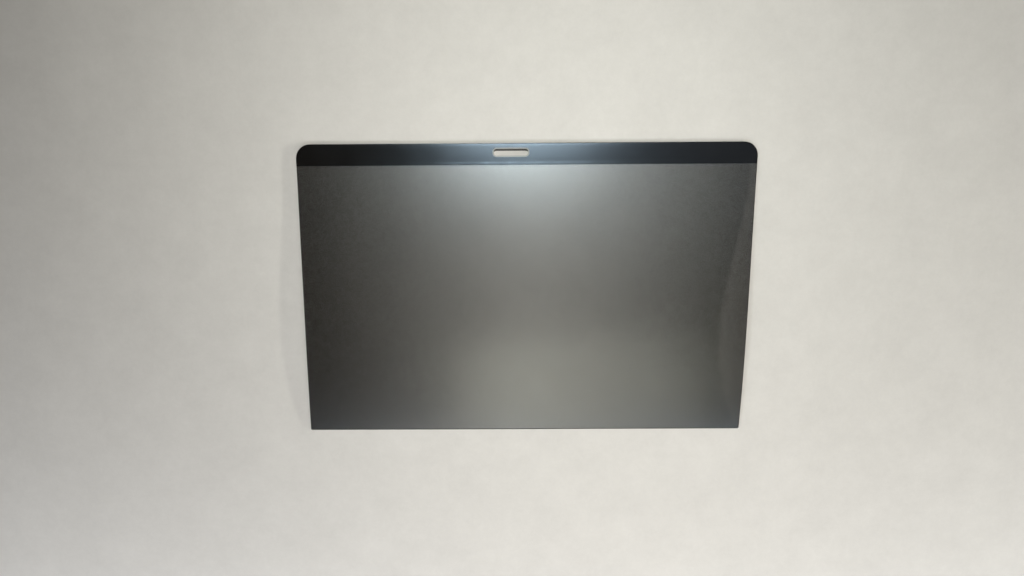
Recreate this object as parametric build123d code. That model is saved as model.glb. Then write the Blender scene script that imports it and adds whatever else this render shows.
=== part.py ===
from build123d import *
import os

# Magnetic privacy filter for a 13 inch class laptop, lying face up on a table. Sizes are in millimetres.
# X runs along the top edge, +Y points to the top edge, and +Z points up, out of the front face.
# The origin is on the table, under the middle of the sheet.

# Louvred film
SHEET_WIDTH = 299.0
SHEET_HEIGHT = 197.0
FILM_THICKNESS = 0.5
TOP_CORNER_RADIUS = 9.2
BOTTOM_CORNER_RADIUS = 0.8

# The film is bowed: it leaves the border level, rises, and comes down on its bottom edge.
# Each rise is the height of its underside above the table, two thirds of the way down that side.
LEFT_RISE = 1.3
RIGHT_RISE = 2.4

# Black layer on the front of the film, along its top
BORDER_HEIGHT = 13.9
BORDER_THICKNESS = 0.1

# Flexible magnet bonded to the rear of the film, behind the border
STRIP_HEIGHT = 11.9
STRIP_THICKNESS = 0.5

# Camera window: the border's opening, measured to its centre from the top edge and from the middle
WINDOW_WIDTH = 23.8
WINDOW_HEIGHT = 5.9
WINDOW_CORNER_RADIUS = 2.6
WINDOW_DEPTH = 5.85
WINDOW_OFFSET = -10.0
CLEAR_RIM = 0.8  # film that stands inside the border's window all round
STRIP_SLOT_DROP = 2.0  # the magnet's slot has the window's size, and lies this much lower

# Blanks are made this much larger than the sheet all round, and are then cut to its outline
TRIM = 3.0

# Derived places
TOP_EDGE = SHEET_HEIGHT / 2
BOTTOM_EDGE = -SHEET_HEIGHT / 2
SIDE_EDGE = SHEET_WIDTH / 2
FOLD = TOP_EDGE - BORDER_HEIGHT
FILM_SEAT = STRIP_THICKNESS
BORDER_SEAT = FILM_SEAT + FILM_THICKNESS
MEAN_RISE = (LEFT_RISE + RIGHT_RISE) / 2
RISE_PER_X = (RIGHT_RISE - LEFT_RISE) / SHEET_WIDTH
CUTTER_REACH = 2 * (BORDER_SEAT + max(LEFT_RISE, RIGHT_RISE))

# At two thirds of its length a cubic curve has these shares of its first two control heights and its third
LEVEL_SHARE = 7 / 27
PULL_SHARE = 4 / 9


def sheet_outline():
    """The film's outline seen from the front, with its four rounded corners."""
    blank = Rectangle(SHEET_WIDTH, SHEET_HEIGHT)
    corners = blank.vertices().group_by(Axis.Y)
    rounded_bottom = fillet(corners[0], BOTTOM_CORNER_RADIUS)
    top_corners = rounded_bottom.vertices().group_by(Axis.Y)[-1]
    return fillet(top_corners, TOP_CORNER_RADIUS)


def top_outline(height):
    """The part of the sheet's outline that lies within this height of the top edge."""
    band = Pos(0, TOP_EDGE - height / 2) * Rectangle(SHEET_WIDTH, height)
    return sheet_outline() & band


def window(inset=0.0, drop=0.0):
    """The camera window's outline, drawn in by inset all round and moved down by drop."""
    centre = Pos(WINDOW_OFFSET, TOP_EDGE - WINDOW_DEPTH - drop)
    width = WINDOW_WIDTH - 2 * inset
    height = WINDOW_HEIGHT - 2 * inset
    return centre * RectangleRounded(width, height, WINDOW_CORNER_RADIUS - inset)


def bowed_section(x):
    """Section of the film's blank at x, from past the top edge to past the bottom edge.

    The bow is the curve of a springy sheet held level under the border and resting on its far edge: a
    cubic with its four control points a third of the way apart. Past the bottom edge the section runs on
    straight. The thickness is measured straight up, because the sheet's slope stays small.
    """
    step = (FOLD - BOTTOM_EDGE) / 3
    rise = MEAN_RISE + RISE_PER_X * x
    pull = (rise - FILM_SEAT * LEVEL_SHARE) / PULL_SHARE
    top = Vector(x, TOP_EDGE + TRIM, FILM_SEAT)
    fold = Vector(x, FOLD, FILM_SEAT)
    level = fold - Vector(0, step, 0)
    crown = Vector(x, BOTTOM_EDGE + step, pull)
    bottom = Vector(x, BOTTOM_EDGE, 0)
    tail = bottom + (bottom - crown) * (TRIM / step)
    under_side = [Line(top, fold), Bezier(fold, level, crown, bottom), Line(bottom, tail)]
    lift = Vector(0, 0, FILM_THICKNESS)
    upper_side = [Pos(lift) * edge for edge in under_side]
    ends = [Line(end, end + lift) for end in (top, tail)]
    return make_face(under_side + upper_side + ends)


def bowed_blank():
    """The film's blank, which follows the bow from past its left side to past its right side."""
    sections = [bowed_section(side * (SIDE_EDGE + TRIM)) for side in (-1, 1)]
    return loft(sections, ruled=True)


def prism(outline):
    """An upright prism of this outline that reaches past the whole sheet, above and below."""
    return extrude(outline, amount=CUTTER_REACH, both=True)


def privacy_film():
    return bowed_blank() & prism(sheet_outline() - window(inset=CLEAR_RIM))


def black_border():
    layer = extrude(top_outline(BORDER_HEIGHT) - window(), amount=BORDER_THICKNESS)
    return Pos(0, 0, BORDER_SEAT) * layer


def magnet_strip():
    return extrude(top_outline(STRIP_HEIGHT) - window(drop=STRIP_SLOT_DROP), amount=STRIP_THICKNESS)


os.makedirs("parts", exist_ok=True)
for piece in (privacy_film, black_border, magnet_strip):
    export_step(piece(), f"parts/{piece.__name__}.step")
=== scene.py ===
import math

import bpy
import numpy as np
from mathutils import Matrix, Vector, geometry


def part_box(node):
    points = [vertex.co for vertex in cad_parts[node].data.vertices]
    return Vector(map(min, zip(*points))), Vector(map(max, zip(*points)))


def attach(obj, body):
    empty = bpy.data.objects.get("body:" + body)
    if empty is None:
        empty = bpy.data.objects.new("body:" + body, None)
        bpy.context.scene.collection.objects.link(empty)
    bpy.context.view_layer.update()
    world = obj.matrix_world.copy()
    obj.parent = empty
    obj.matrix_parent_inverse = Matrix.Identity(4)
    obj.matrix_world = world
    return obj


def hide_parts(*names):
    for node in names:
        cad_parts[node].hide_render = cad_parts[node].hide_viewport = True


# Privacy filter for a laptop screen, lying face up on a pale table, in the part's own frame:
# X along the top edge, +Y towards it, +Z up. Sizes are in millimetres, and MM makes them Blender's metres.
MM = 0.001

# Film: its corners, and the height of its underside two thirds of the way down each side
TOP_CORNER_RADIUS = 9.2
BOTTOM_CORNER_RADIUS = 0.8
LEFT_RISE = 1.3
RIGHT_RISE = 2.4
SHADE_MARGIN = 0.3  # painted edge shade: a black band along the film's edge on both faces

# At two thirds of its length a cubic curve has these shares of its first two control heights and its third
LEVEL_SHARE = 7 / 27
PULL_SHARE = 4 / 9

# Camera window in the border, measured to its centre from the top edge and from the middle
WINDOW_WIDTH = 23.8
WINDOW_HEIGHT = 5.9
WINDOW_CORNER_RADIUS = 2.6
WINDOW_DEPTH = 5.85
WINDOW_OFFSET = -10.0
CLEAR_RIM = 0.8  # clear film inside the border's window all round

# Border: its outer edge rolls over, and a fine lip rises where it passes the strip's lower edge
ROLL_WIDTH = 0.7
ROLL_DROP = 0.08
LIP_HEIGHT = 0.03
LIP_LENGTH = 0.8
LIP_BUMPS = (-26.3, -10.6)
LIP_BUMP_WIDTH = 0.8

# The lip is uneven: this share of its height is even, and two waves along X make the rest,
# in radians a millimetre
LIP_EVEN_SHARE = 0.75
LIP_RIPPLE = 0.31
LIP_SWELL = 0.083
LIP_SWELL_START = 1.0

# Louvres inside the film: thin upright wedges that run from top to bottom
SLAT_PITCH = 0.14
SLAT_HEIGHT = 0.4
SLAT_FOOT = 0.017
SLAT_LEAN = math.radians(-3.5)
SLAT_INSET = 0.06

# How finely the meshes are divided
BOW_ROWS = 13
FILM_COLUMN = 6.5
BORDER_COLUMN = 2.5
CORNER_STEPS = 12
FILM_TOP_ROWS = 5
LIP_ROWS = 10
BORDER_TOP_ROWS = 6
ROLL_STEPS = 3
LIP_BUMP_STEPS = np.linspace(-1.5, 1.5, 7)  # columns round each bump, in bump widths
POINT_GAP = 0.5  # least distance from a corner or the window to the points beside it
FILM_GRID_GAP = 0.4  # from the film's dark margin to the grid inside it
BORDER_GRID_GAP = 0.1  # from the border's rolled edge to the grid inside it
STRIP_ROW_GAP = 0.3  # from the strip's lower edge to the next row above it
CORNER_GAP = 0.1  # least distance from the border's lower corners to the points beside them
MERGE_DISTANCE = 0.00001
SHARP_ANGLE = math.radians(30)

# Camera: the photograph is 1024 pixels wide, and its optical axis lies left of its middle
IMAGE_WIDTH = 1024
FOCAL_PIXELS = 770
AXIS_PIXEL = 474.9
SENSOR_WIDTH = 36.0
CAMERA_PLACE = (-29.73, 112.98, 506.64)
CAMERA_TURN = (-12.286, 0.391, -0.391)
CAMERA_RANGE = (10, 20000)

# Table: half the width and length of what shows only the lamps' light,
# and the plain pale backdrop that it fades into outside
NEAR_TABLE = (370, 230)
BACKDROP_FADE = 220
BACKDROP_RADIUS = 3000
BACKDROP_HEIGHT = 1500
BACKDROP_CURVE = 600
BACKDROP_SIDES = 64
BACKDROP_COLOUR = (0.6, 0.59, 0.565)
TABLE_DROP = 0.02

# Faint light from all round
ROOM_COLOUR = (1.0, 0.985, 0.95)
ROOM_STRENGTH = 0.01

# Most noise values lie in this range
NOISE_LOW = 0.3
NOISE_HIGH = 0.7

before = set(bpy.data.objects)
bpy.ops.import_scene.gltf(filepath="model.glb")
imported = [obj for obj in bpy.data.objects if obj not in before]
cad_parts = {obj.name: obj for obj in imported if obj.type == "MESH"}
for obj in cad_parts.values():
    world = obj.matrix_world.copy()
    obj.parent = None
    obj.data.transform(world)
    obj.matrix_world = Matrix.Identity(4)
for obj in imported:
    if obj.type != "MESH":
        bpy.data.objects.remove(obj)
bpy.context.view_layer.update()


# Sizes taken from the frame

def node_box(node):
    """Lowest and highest corner of a CAD node, in millimetres."""
    low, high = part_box(node)
    return low / MM, high / MM


film_low, film_high = node_box("privacy_film")
border_low, border_high = node_box("black_border")
strip_low, strip_high = node_box("magnet_strip")
side_edge = film_high.x
top_edge = film_high.y
bottom_edge = film_low.y
fold = border_low.y
strip_edge = strip_low.y
seat = strip_high.z
film_thickness = border_low.z - seat
border_thickness = border_high.z - border_low.z
window_centre = (WINDOW_OFFSET, top_edge - WINDOW_DEPTH)
bow_rows = np.linspace(bottom_edge, fold, BOW_ROWS + 1)


# Heights

def film_underside(x, y):
    """Height above the table: level under the border, then a cubic bow that ends on the bottom edge."""
    rise = (LEFT_RISE + RIGHT_RISE) / 2 + (RIGHT_RISE - LEFT_RISE) / 2 * x / side_edge
    pull = (rise - seat * LEVEL_SHARE) / PULL_SHARE
    along = np.clip((fold - y) / (fold - bottom_edge), 0, 1)
    return seat * (1 - along) ** 2 * (1 + 2 * along) + 3 * pull * along ** 2 * (1 - along)


def film_front(x, y):
    """Height of the film's front face above the table."""
    return film_underside(x, y) + film_thickness


def edge_distance(x, y):
    """Distance in from the sheet's top edge, sides and rounded top corners."""
    past_side = np.abs(x) - (side_edge - TOP_CORNER_RADIUS)
    past_top = y - (top_edge - TOP_CORNER_RADIUS)
    straight = TOP_CORNER_RADIUS - np.maximum(past_side, past_top)
    round_corner = TOP_CORNER_RADIUS - np.hypot(past_side, past_top)
    return np.where((past_side > 0) & (past_top > 0), round_corner, straight)


def border_front(x, y):
    """The border's face, with its rolled outer edge and the uneven lip past the strip's lower edge."""
    waves = np.sin(LIP_RIPPLE * x) * np.sin(LIP_SWELL * x + LIP_SWELL_START)
    uneven = LIP_EVEN_SHARE + (1 - LIP_EVEN_SHARE) * waves
    for bump in LIP_BUMPS:
        uneven = uneven + np.exp(-((x - bump) / LIP_BUMP_WIDTH) ** 2)
    lip = LIP_HEIGHT * uneven * (1 - np.exp(-np.maximum(strip_edge - y, 0) / LIP_LENGTH))
    roll = ROLL_DROP * np.maximum(1 - edge_distance(x, y) / ROLL_WIDTH, 0) ** 2
    return film_front(x, y) + border_thickness + lip - roll


# Outlines

def rounded_corners(centre, width, height, bottom_radius, top_radius):
    """Points along the four corner arcs of a rounded rectangle."""
    points = []
    corners = [(1, -1, bottom_radius), (1, 1, top_radius), (-1, 1, top_radius), (-1, -1, bottom_radius)]
    for quarter, (across, up, radius) in enumerate(corners):
        arc_x = centre[0] + across * (width / 2 - radius)
        arc_y = centre[1] + up * (height / 2 - radius)
        for step in range(CORNER_STEPS + 1):
            angle = math.radians(90 * (quarter - 1 + step / CORNER_STEPS))
            points.append((arc_x + radius * math.cos(angle), arc_y + radius * math.sin(angle)))
    return points


def in_order(points, centre):
    """The points of a convex loop, anticlockwise about a place inside it."""
    return sorted(points, key=lambda point: math.atan2(point[1] - centre[1], point[0] - centre[0]))


def window_loop(inset):
    """The camera window's outline, drawn in by inset all round."""
    radius = WINDOW_CORNER_RADIUS - inset
    width = WINDOW_WIDTH - 2 * inset
    height = WINDOW_HEIGHT - 2 * inset
    return in_order(rounded_corners(window_centre, width, height, radius, radius), window_centre)


def sheet_loop(inset, columns, rows):
    """The sheet's outline drawn in by inset, with a point at each column and row that its sides pass."""
    right, top, bottom = side_edge - inset, top_edge - inset, bottom_edge + inset
    top_radius = TOP_CORNER_RADIUS - inset
    bottom_radius = BOTTOM_CORNER_RADIUS - inset
    points = rounded_corners((0, (top + bottom) / 2), 2 * right, top - bottom, bottom_radius, top_radius)
    points += [(x, top) for x in columns if abs(x) < right - top_radius - POINT_GAP]
    points += [(x, bottom) for x in columns if abs(x) < right - bottom_radius - POINT_GAP]
    for y in rows:
        if bottom + bottom_radius + POINT_GAP < y < top - top_radius - POINT_GAP:
            points += [(-right, y), (right, y)]
    return in_order(points, (0, 0))


def border_loop(inset, columns, rows):
    """The border's outline, with its top and sides drawn in by inset and its lower edge left as it is."""
    right = side_edge - inset
    points = [point for point in sheet_loop(inset, columns, rows) if point[1] > fold + CORNER_GAP]
    points += [(x, fold) for x in columns if abs(x) < right - CORNER_GAP]
    points += [(-right, fold), (right, fold)]
    return in_order(points, (0, (fold + top_edge) / 2))


def inside(places, loop):
    """Which of the places lie inside a convex anticlockwise loop."""
    corners = np.array(loop)
    along = np.roll(corners, -1, axis=0) - corners
    offset = places[:, None, :] - corners
    return np.all(along[:, 0] * offset[:, :, 1] - along[:, 1] * offset[:, :, 0] > 0, axis=1)


def filling(columns, rows, outline):
    """Grid points inside an outline that stay clear of the camera window."""
    grid = np.array([(x, y) for x in columns for y in rows])
    kept = inside(grid, outline) & ~inside(grid, window_loop(-POINT_GAP))
    return [tuple(point) for point in grid[kept]]


def even_columns(step):
    """Places across the sheet, about a step apart."""
    return np.linspace(-side_edge, side_edge, round(2 * side_edge / step) + 1)


# Meshes

def add_piece(name, points, faces, materials):
    """A mesh object from points in millimetres, riding on the part's one body."""
    mesh = bpy.data.meshes.new(name)
    mesh.from_pydata((np.asarray(points) * MM).tolist(), [], faces)
    mesh.validate()
    for material in materials:
        mesh.materials.append(material)
    piece = bpy.data.objects.new(name, mesh)
    bpy.context.scene.collection.objects.link(piece)
    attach(piece, "root")
    return piece


def sheet_mesh(loops, filler, hole, lower, upper):
    """Points and faces of a closed sheet between two height functions, with the hole left open.

    The first loop is the outline. Every loop is kept as a line of edges.
    """
    plan = []
    edges = []
    for loop in (*loops, hole):
        first = len(plan)
        edges += [(first + i, first + (i + 1) % len(loop)) for i in range(len(loop))]
        plan += loop
    plan += filler
    corners = [Vector(point) for point in plan]
    flat, _, triangles, *_ = geometry.delaunay_2d_cdt(corners, edges, [], 0, MERGE_DISTANCE, False)
    x, y = np.array(flat).T
    triangles = np.array(triangles)
    centres = np.column_stack([x[triangles].mean(axis=1), y[triangles].mean(axis=1)])
    fronts = [tuple(triangle) for triangle in triangles[~inside(centres, hole)].tolist()]
    count = len(x)
    points = np.concatenate([np.column_stack([x, y, upper(x, y)]), np.column_stack([x, y, lower(x, y)])])
    backs = [tuple(i + count for i in reversed(triangle)) for triangle in fronts]
    sides = {(t[i], t[(i + 1) % 3]) for t in fronts for i in range(3)}
    walls = [(a + count, b + count, b, a) for a, b in sorted(sides) if (b, a) not in sides]
    return points, fronts + backs + walls


def smooth_sheet(piece):
    """Smooth faces with crisp edges between the faces and the walls."""
    piece.data.shade_smooth()
    piece.data.set_sharp_from_angle(angle=SHARP_ANGLE)


def film_sheet(skin, rim, edge):
    """The film: rows follow the bow, a clear rim goes round the camera slot, and its edge walls are black,
    with a band of painted edge shade along both faces.
    """
    columns = even_columns(FILM_COLUMN)
    rows = np.concatenate([bow_rows[1:], np.linspace(fold, top_edge, FILM_TOP_ROWS + 1)[1:-1]])
    shade_margin = sheet_loop(SHADE_MARGIN, columns, rows)
    filler = filling(columns, rows, sheet_loop(SHADE_MARGIN + FILM_GRID_GAP, columns, rows))
    loops = [sheet_loop(0, columns, rows), shade_margin, window_loop(0)]
    points, faces = sheet_mesh(loops, filler, window_loop(CLEAR_RIM), film_underside, film_front)
    piece = add_piece("film_sheet", points, faces, [skin, rim, edge])
    smooth_sheet(piece)
    centres = np.array([polygon.center[:2] for polygon in piece.data.polygons]) / MM
    in_window = inside(centres, window_loop(0))
    # The band along the edge and the edge walls take the painted edge shade
    in_shade_margin = ~inside(centres, shade_margin)
    numbers = np.where(in_window, 1, np.where(in_shade_margin, 2, 0))
    piece.data.polygons.foreach_set("material_index", numbers.astype(np.int32))
    plan_map = piece.data.uv_layers.new(name="plan")
    for corner in piece.data.loops:
        place = piece.data.vertices[corner.vertex_index].co
        plan_map.data[corner.index].uv = (place.x, place.y)
    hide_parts("privacy_film")


def border_sheet(material):
    """The black border on the film's front, with its rolled edge and its lip."""
    near_bumps = [bump + LIP_BUMP_STEPS * LIP_BUMP_WIDTH for bump in LIP_BUMPS]
    columns = np.sort(np.concatenate([even_columns(BORDER_COLUMN), *near_bumps]))
    lip_rows = np.linspace(fold, strip_edge, LIP_ROWS + 1)[1:]
    upper_rows = np.linspace(strip_edge, top_edge, BORDER_TOP_ROWS + 1)[1:-1]
    rows = np.concatenate([lip_rows, [strip_edge + STRIP_ROW_GAP], upper_rows])
    insets = [ROLL_WIDTH * step / ROLL_STEPS for step in range(ROLL_STEPS + 1)]
    loops = [border_loop(inset, columns, rows) for inset in insets]
    filler = filling(columns, rows, border_loop(ROLL_WIDTH + BORDER_GRID_GAP, columns, rows))
    points, faces = sheet_mesh(loops, filler, window_loop(0), film_front, border_front)
    piece = add_piece("border_sheet", points, faces, [material])
    smooth_sheet(piece)
    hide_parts("black_border")


def half_height(x, centre, width, height, radius):
    """Half the height of a rounded rectangle at x, or 0 outside it."""
    past_straight = abs(x - centre[0]) - (width / 2 - radius)
    if past_straight > radius:
        return 0.0
    return height / 2 - radius + math.sqrt(radius ** 2 - max(past_straight, 0.0) ** 2)


def corner_drop(x, radius):
    """How far a corner of this radius brings the sheet's outline in at x."""
    past_straight = max(abs(x) - (side_edge - radius), 0.0)
    return radius - math.sqrt(max(radius ** 2 - past_straight ** 2, 0.0))


def slat_stretches(x):
    """Start and end of the slat at x, in one stretch, or in two where the camera window parts it."""
    low = bottom_edge + corner_drop(x, BOTTOM_CORNER_RADIUS) + SLAT_INSET
    high = top_edge - corner_drop(x, TOP_CORNER_RADIUS) - SLAT_INSET
    half = half_height(x, window_centre, WINDOW_WIDTH, WINDOW_HEIGHT, WINDOW_CORNER_RADIUS)
    if half:
        return [(low, window_centre[1] - half), (window_centre[1] + half, high)]
    return [(low, high)]


def louvres(material):
    """Thin leaning wedges inside the film, which follow its bow. Each row has a wedge's three corners."""
    count = math.floor((side_edge - 2 * SLAT_INSET) / SLAT_PITCH)
    cover = (film_thickness - SLAT_HEIGHT) / 2
    lean = SLAT_HEIGHT * math.tan(SLAT_LEAN)
    points = []
    faces = []
    for x in np.arange(-count, count + 1) * SLAT_PITCH:
        for start, end in slat_stretches(x):
            rows = np.array([start, *[row for row in bow_rows if start < row < end], end])
            first = len(points)
            for y, z in zip(rows, film_underside(x, rows) + cover):
                points.append((x - SLAT_FOOT / 2, y, z))
                points.append((x + SLAT_FOOT / 2, y, z))
                points.append((x + lean, y, z + SLAT_HEIGHT))
            last = len(points) - 3
            for here in range(first, last, 3):
                for a, b in ((0, 1), (1, 2), (2, 0)):
                    faces.append((here + 3 + a, here + 3 + b, here + b, here + a))
            faces.append((first, first + 1, first + 2))
            faces.append((last + 2, last + 1, last))
    add_piece("louvres", points, faces, [material])


# Materials

def new_material(name):
    """A node material, with its nodes, its links and its shader."""
    material = bpy.data.materials.new(name)
    material.use_nodes = True
    nodes = material.node_tree.nodes
    return material, nodes, material.node_tree.links, nodes["Principled BSDF"]


def noise(nodes, scale, detail, roughness=0.5):
    """A noise value in the piece's own coordinates; scale is in waves per metre."""
    texture = nodes.new("ShaderNodeTexNoise")
    texture.inputs["Scale"].default_value = scale
    texture.inputs["Detail"].default_value = detail
    texture.inputs["Roughness"].default_value = roughness
    place = nodes.new("ShaderNodeTexCoord")
    nodes.id_data.links.new(place.outputs["Object"], texture.inputs["Vector"])
    return texture.outputs["Fac"]


def spread(nodes, source, low, high):
    """Maps a noise value to the range from low to high."""
    ramp = nodes.new("ShaderNodeMapRange")
    ramp.inputs["From Min"].default_value = NOISE_LOW
    ramp.inputs["From Max"].default_value = NOISE_HIGH
    ramp.inputs["To Min"].default_value = low
    ramp.inputs["To Max"].default_value = high
    nodes.id_data.links.new(source, ramp.inputs["Value"])
    return ramp.outputs["Result"]


def tint(nodes, source, dark, light):
    """A colour between two others, by a noise value."""
    ramp = nodes.new("ShaderNodeValToRGB")
    ramp.color_ramp.elements[0].position = NOISE_LOW
    ramp.color_ramp.elements[0].color = (*dark, 1)
    ramp.color_ramp.elements[1].position = NOISE_HIGH
    ramp.color_ramp.elements[1].color = (*light, 1)
    nodes.id_data.links.new(source, ramp.inputs["Fac"])
    return ramp.outputs["Color"]


def film_skin():
    """Satin smoke-tinted skin that lets most light through."""
    material, nodes, links, shader = new_material("film skin")
    shader.inputs["Base Color"].default_value = (0.02, 0.018, 0.014, 1)
    shader.inputs["IOR"].default_value = 5.0
    shader.inputs["Specular IOR Level"].default_value = 1.0
    shader.inputs["Specular Tint"].default_value = (0.75, 0.87, 1.0, 1)
    shader.inputs["Anisotropic"].default_value = 0.15
    shader.inputs["Alpha"].default_value = 0.1
    across = nodes.new("ShaderNodeTangent")
    across.direction_type = "UV_MAP"
    across.uv_map = "plan"
    links.new(across.outputs["Tangent"], shader.inputs["Tangent"])
    links.new(spread(nodes, noise(nodes, 40, 4), 0.25, 0.26), shader.inputs["Roughness"])
    return material


def clear_rim():
    """Frosted clear film round the camera slot."""
    material, nodes, links, shader = new_material("clear rim")
    shader.inputs["Base Color"].default_value = (0.66, 0.7, 0.73, 1)
    shader.inputs["Alpha"].default_value = 0.55
    links.new(spread(nodes, noise(nodes, 900, 3), 0.4, 0.6), shader.inputs["Roughness"])
    return material


def cut_edge_and_shade():
    """Black film edge: its walls, and a band along its faces that is painted edge shade."""
    material, nodes, links, shader = new_material("cut edge and painted shade")
    shader.inputs["Base Color"].default_value = (0.012, 0.011, 0.01, 1)
    links.new(spread(nodes, noise(nodes, 700, 3), 0.45, 0.7), shader.inputs["Roughness"])
    return material


def louvre_plastic():
    """Dark brown-grey plastic of the louvres."""
    material, nodes, links, shader = new_material("louvre plastic")
    shader.inputs["Base Color"].default_value = (0.056, 0.041, 0.027, 1)
    links.new(spread(nodes, noise(nodes, 300, 3), 0.5, 0.7), shader.inputs["Roughness"])
    return material


def border_black():
    """Black gloss with the faintest orange peel."""
    material, nodes, links, shader = new_material("border black")
    shader.inputs["IOR"].default_value = 1.62
    shader.inputs["Specular Tint"].default_value = (0.6, 0.77, 1.0, 1)
    mottle = noise(nodes, 90, 3)
    colour = tint(nodes, mottle, (0.0058, 0.0048, 0.0038), (0.0074, 0.0062, 0.005))
    links.new(colour, shader.inputs["Base Color"])
    links.new(spread(nodes, mottle, 0.185, 0.21), shader.inputs["Roughness"])
    return material


def magnet_rubber():
    """Matt black rubber with a fine grain."""
    material, nodes, links, shader = new_material("magnet rubber")
    grain = noise(nodes, 2500, 3)
    links.new(tint(nodes, grain, (0.018, 0.017, 0.016), (0.032, 0.031, 0.029)), shader.inputs["Base Color"])
    shader.inputs["Roughness"].default_value = 0.75
    bump = nodes.new("ShaderNodeBump")
    bump.inputs["Strength"].default_value = 0.1
    bump.inputs["Distance"].default_value = 0.1 * MM
    links.new(grain, bump.inputs["Height"])
    links.new(bump.outputs["Normal"], shader.inputs["Normal"])
    return material


def result(nodes, operation, first, second):
    """The outcome of a math node on two sources or numbers."""
    node = nodes.new("ShaderNodeMath")
    node.operation = operation
    for socket, source in zip(node.inputs, (first, second)):
        if isinstance(source, (int, float)):
            socket.default_value = source
        else:
            nodes.id_data.links.new(source, socket)
    return node.outputs["Value"]


def backdrop_share(nodes):
    """0 near the part and 1 on the backdrop, for camera, glossy and transmission rays only."""
    place = nodes.new("ShaderNodeTexCoord")
    axes = nodes.new("ShaderNodeSeparateXYZ")
    nodes.id_data.links.new(place.outputs["Object"], axes.inputs["Vector"])
    beyond = []
    for axis, half_size in zip("XY", NEAR_TABLE):
        distance = result(nodes, "ABSOLUTE", axes.outputs[axis], 0)
        beyond.append(result(nodes, "SUBTRACT", distance, half_size * MM))
    fade = nodes.new("ShaderNodeMapRange")
    fade.interpolation_type = "SMOOTHSTEP"
    fade.inputs["From Min"].default_value = 0.0
    fade.inputs["From Max"].default_value = BACKDROP_FADE * MM
    nodes.id_data.links.new(result(nodes, "MAXIMUM", *beyond), fade.inputs["Value"])
    path = nodes.new("ShaderNodeLightPath")
    seen = result(nodes, "MAXIMUM", path.outputs["Is Camera Ray"], path.outputs["Is Glossy Ray"])
    seen = result(nodes, "MAXIMUM", seen, path.outputs["Is Transmission Ray"])
    return result(nodes, "MULTIPLY", seen, fade.outputs["Result"])


def table_paint():
    """Pale painted table with a faint grain, which fades into the plain backdrop."""
    material, nodes, links, shader = new_material("table paint")
    colour = tint(nodes, noise(nodes, 30, 6, 0.85), (0.672, 0.67, 0.67), (0.742, 0.74, 0.74))
    links.new(colour, shader.inputs["Base Color"])
    shader.inputs["Roughness"].default_value = 0.8
    shader.inputs["Specular IOR Level"].default_value = 0.0
    backdrop = nodes.new("ShaderNodeEmission")
    backdrop.inputs["Color"].default_value = (*BACKDROP_COLOUR, 1)
    mix = nodes.new("ShaderNodeMixShader")
    links.new(backdrop_share(nodes), mix.inputs["Fac"])
    links.new(shader.outputs["BSDF"], mix.inputs[1])
    links.new(backdrop.outputs["Emission"], mix.inputs[2])
    links.new(mix.outputs["Shader"], nodes["Material Output"].inputs["Surface"])
    return material


# Stage

def table():
    """The table top, just below the part, which curves up far out into the backdrop's wall."""
    profile = []
    for step in range(CORNER_STEPS + 1):
        angle = math.radians(90 * step / CORNER_STEPS)
        radius = BACKDROP_RADIUS - BACKDROP_CURVE * (1 - math.sin(angle))
        profile.append((radius, BACKDROP_CURVE * (1 - math.cos(angle)) - TABLE_DROP))
    profile.append((BACKDROP_RADIUS, BACKDROP_HEIGHT))
    points = []
    for radius, height in profile:
        for side in range(BACKDROP_SIDES):
            turn = math.tau * side / BACKDROP_SIDES
            points.append((radius * math.cos(turn), radius * math.sin(turn), height))
    faces = [tuple(range(BACKDROP_SIDES))]
    for ring in range(len(profile) - 1):
        first = ring * BACKDROP_SIDES
        for side in range(BACKDROP_SIDES):
            here = first + side
            beside = first + (side + 1) % BACKDROP_SIDES
            faces.append((here, beside, beside + BACKDROP_SIDES, here + BACKDROP_SIDES))
    mesh = bpy.data.meshes.new("table")
    mesh.from_pydata((np.array(points) * MM).tolist(), [], faces)
    mesh.materials.append(table_paint())
    top = bpy.data.objects.new("table", mesh)
    bpy.context.scene.collection.objects.link(top)


def area_light(name, place, target, size, power, colour, beam=180, shape="RECTANGLE"):
    """An area light in millimetres, facing a target point, with the width of its beam in degrees."""
    data = bpy.data.lights.new(name, "AREA")
    data.shape = shape
    data.spread = math.radians(beam)
    data.size = size[0] * MM
    data.size_y = size[1] * MM
    data.energy = power
    data.color = colour
    light = bpy.data.objects.new(name, data)
    light.location = Vector(place) * MM
    light.rotation_euler = (Vector(target) - Vector(place)).to_track_quat("-Z", "Y").to_euler()
    bpy.context.scene.collection.objects.link(light)


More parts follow.
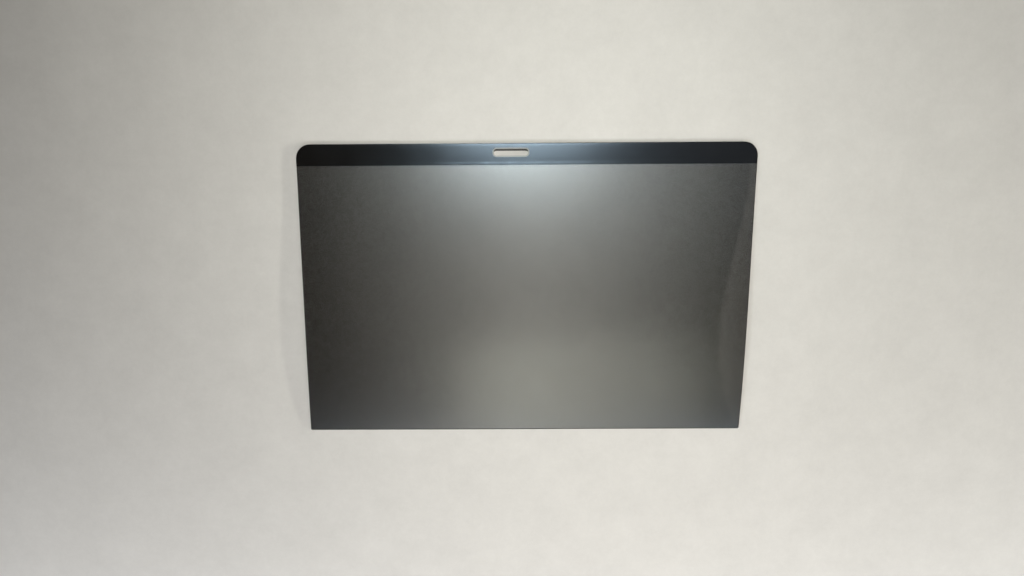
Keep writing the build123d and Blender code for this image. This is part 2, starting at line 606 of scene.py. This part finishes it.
def lights():
    """A lamp over the top edge, lights behind and in front of it, and light from both sides.

    Each light has its place, its target, its size, its power in watts and its colour.
    """
    area_light("lamp", (41, 138, 750), (41, 138, 0), (260, 135), 0.128, (0.97, 1.0, 0.92), 50, "ELLIPSE")
    area_light("back", (-40, 450, 750), (-20, 60, 0), (240, 240), 0.35, (1.0, 0.94, 0.81), 66)
    area_light("front", (92, -242, 400), (85, -150, 0), (300, 180), 0.089, (1.0, 0.89, 0.65), 110)
    area_light("front panel", (-40, -465, 380), (-40, -230, 0), (1300, 200), 1.7, (1.0, 0.99, 0.97))
    area_light("low front panel", (-100, -400, 200), (-100, -200, 0), (1600, 120), 1.14, (1.0, 0.99, 0.97))
    area_light("left", (-1000, 0, 800), (250, -20, 0), (500, 300), 0.15, (1.0, 1.0, 1.0), 36)
    area_light("low right", (1150, -30, 137), (149, -30, 0), (600, 28), 15.0, (1.0, 0.96, 0.83))
    area_light("upper right", (466, 120, 1250), (140, 92, 0), (350, 700), 0.2, (1.0, 1.0, 1.0))
    world = bpy.data.worlds.new("room")
    world.use_nodes = True
    background = world.node_tree.nodes["Background"]
    background.inputs["Color"].default_value = (*ROOM_COLOUR, 1)
    background.inputs["Strength"].default_value = ROOM_STRENGTH
    bpy.context.scene.world = world


def camera():
    """The photograph's view."""
    data = bpy.data.cameras.new("camera")
    data.sensor_width = SENSOR_WIDTH
    data.lens = SENSOR_WIDTH * FOCAL_PIXELS / IMAGE_WIDTH
    data.shift_x = 0.5 - AXIS_PIXEL / IMAGE_WIDTH
    data.clip_start = CAMERA_RANGE[0] * MM
    data.clip_end = CAMERA_RANGE[1] * MM
    view = bpy.data.objects.new("camera", data)
    view.location = Vector(CAMERA_PLACE) * MM
    view.rotation_euler = [math.radians(angle) for angle in CAMERA_TURN]
    bpy.context.scene.collection.objects.link(view)
    bpy.context.scene.camera = view


film_sheet(film_skin(), clear_rim(), cut_edge_and_shade())
louvres(louvre_plastic())
border_sheet(border_black())
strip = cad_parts["magnet_strip"]
strip.data.materials.clear()
strip.data.materials.append(magnet_rubber())
table()
lights()
camera()
bpy.context.scene.view_settings.view_transform = "Standard"
